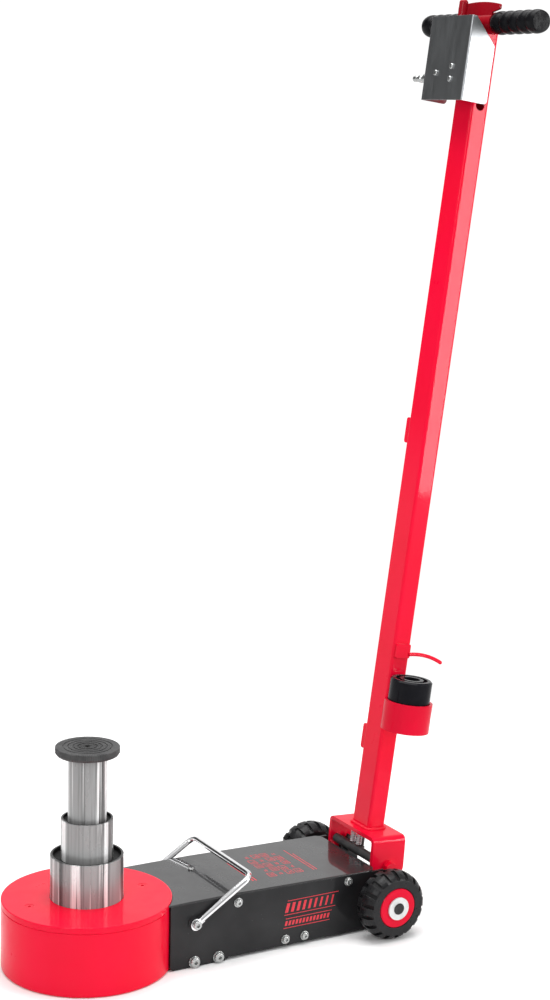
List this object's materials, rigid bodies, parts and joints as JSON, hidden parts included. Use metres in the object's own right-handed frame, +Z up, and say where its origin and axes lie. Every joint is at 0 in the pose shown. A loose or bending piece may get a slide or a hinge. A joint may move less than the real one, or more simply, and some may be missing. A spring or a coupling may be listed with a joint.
{
  "type": "air-hydraulic axle jack",
  "caption": "Trolley jack with a telescopic ram in a round red drum, a low black chassis on two rear wheels, a tall tilting handle with air controls, and a spare extension in its holder.",
  "frame": {"origin": "on the floor under the ram's axis", "axes": "+Z up along the ram; +X from the ram back to the wheels; -Y to the side that the spare extension hangs on"},
  "size_m": [0.7599, 0.285, 1.3592],
  "materials": {
    "red_paint": "glossy enamel",
    "black_paint": "glossy enamel",
    "black_steel": "satin black oxide",
    "chrome": "polished",
    "ground_steel": "ground and polished",
    "machined_steel": "machined",
    "zinc": "zinc plated",
    "guard_steel": "brushed",
    "bronze": "machined",
    "alloy": "machined",
    "cast": "as cast",
    "seal": "matt",
    "grip": "satin",
    "tyre": "matt",
    "spring": "drawn wire"
  },
  "bodies": {
    "chassis": {"base_plate": "cast", "reservoir_shell": "red_paint", "reservoir_lid": "red_paint", "lid_screws": "red_paint", "cylinder_barrel": "machined_steel", "cylinder_gland": "bronze", "manifold_block": "cast", "release_valve": "zinc", "side_plate_near": "black_paint", "side_plate_far": "black_paint", "top_cover": "black_paint", "filler_plug": "zinc", "cover_screws": "zinc", "foot_bolts": "zinc", "floor_pan": "black_paint", "rear_cross_plate": "black_paint", "hinge_bracket": "black_steel", "pivot_bolts": "red_paint", "pivot_spacers": "zinc", "pump_block": "cast", "air_cylinder": "alloy", "air_cylinder_cap": "alloy", "wheel_axle": "machined_steel", "axle_spacers": "zinc", "axle_washers": "zinc", "bail_bolts": "zinc"},
    "stage_1": {"stage_1_tube": "ground_steel", "stage_1_gland": "black_steel", "stage_1_seal": "seal"},
    "stage_2": {"stage_2_tube": "ground_steel", "stage_2_gland": "black_steel", "stage_2_seal": "seal"},
    "stage_3": {"stage_3_rod": "ground_steel", "stage_3_seal": "seal"},
    "saddle": {"saddle": "black_steel"},
    "near_wheel": {"tyre_near": "tyre", "rim_near": "red_paint"},
    "far_wheel": {"tyre_far": "tyre", "rim_far": "red_paint"},
    "handle": {"handle_yoke": "red_paint", "handle_tube": "red_paint", "hose_tabs": "red_paint", "extension_holder": "red_paint", "crossbar": "red_paint", "grip_near": "grip", "grip_far": "grip", "control_cover": "guard_steel", "control_screws": "zinc", "valve_block": "alloy", "air_inlet_nipple": "zinc"},
    "lock": {"lock_bar": "black_steel", "lock_lever": "red_paint", "lock_springs": "spring"},
    "extension": {"extension_piece": "black_steel"},
    "paddle": {"control_paddle": "red_paint"},
    "plunger": {"valve_plunger": "machined_steel"},
    "release": {"release_knob": "red_paint"},
    "bail": {"carry_handle": "chrome"},
    "pump_piston": {"air_piston": "machined_steel", "return_spring": "spring"}
  },
  "joints": [
    {"name": "stage_1_lift", "type": "slide", "parent": "chassis", "child": "stage_1", "axis": [0, 0, 1], "range_m": [-0.06, 0]},
    {"name": "stage_2_lift", "type": "slide", "parent": "stage_1", "child": "stage_2", "axis": [0, 0, 1], "range_m": [-0.05, 0]},
    {"name": "stage_3_lift", "type": "slide", "parent": "stage_2", "child": "stage_3", "axis": [0, 0, 1], "range_m": [-0.058, 0]},
    {"name": "saddle_lift_out", "type": "slide", "parent": "stage_3", "child": "saddle", "axis": [0, 0, 1], "range_m": [0, 0.021]},
    {"name": "near_wheel_spin", "type": "hinge", "parent": "chassis", "child": "near_wheel", "pos_m": [0.435, -0.117, 0.0515], "axis": [0, 1, 0], "continuous": true},
    {"name": "far_wheel_spin", "type": "hinge", "parent": "chassis", "child": "far_wheel", "pos_m": [0.435, 0.117, 0.0515], "axis": [0, 1, 0], "continuous": true},
    {"name": "handle_tilt", "type": "hinge", "parent": "chassis", "child": "handle", "pos_m": [0.466, 0, 0.084], "axis": [0, 1, 0], "range_deg": [-7.3, 75]},
    {"name": "lock_release", "type": "slide", "parent": "handle", "child": "lock", "axis": [0.1281, 0, 0.9918], "range_m": [0, 0.008], "stiffness_N_per_m": 1500, "springref_m": -0.005, "deforming": ["lock_springs"]},
    {"name": "extension_lift_out", "type": "slide", "parent": "handle", "child": "extension", "axis": [0.1281, 0, 0.9918], "range_m": [0, 0.075]},
    {"name": "paddle_push", "type": "hinge", "parent": "handle", "child": "paddle", "pos_m": [0.62304, 0, 1.32484], "axis": [0, -1, 0], "range_deg": [0, 12], "stiffness_Nm_per_rad": 2, "springref_deg": -6.88},
    {"name": "plunger_slide", "type": "slide", "parent": "handle", "child": "plunger", "axis": [-0.1281, 0, -0.9918], "range_m": [0, 0.0071]},
    {"name": "release_press", "type": "slide", "parent": "handle", "child": "release", "axis": [-0.1281, 0, -0.9918], "range_m": [0, 0.006], "stiffness_N_per_m": 800, "springref_m": -0.004},
    {"name": "bail_swing", "type": "hinge", "parent": "chassis", "child": "bail", "pos_m": [0.127, 0, 0.067], "axis": [0, -1, 0], "range_deg": [-8.5, 97]},
    {"name": "pump_stroke", "type": "slide", "parent": "chassis", "child": "pump_piston", "axis": [-1, 0, 0], "range_m": [0, 0.03], "stiffness_N_per_m": 400, "springref_m": -0.01, "deforming": ["return_spring"]}
  ],
  "couplings": [
    {"joint": "plunger_slide", "follows": "paddle_push", "m_per_rad": 0.0336}
  ]
}
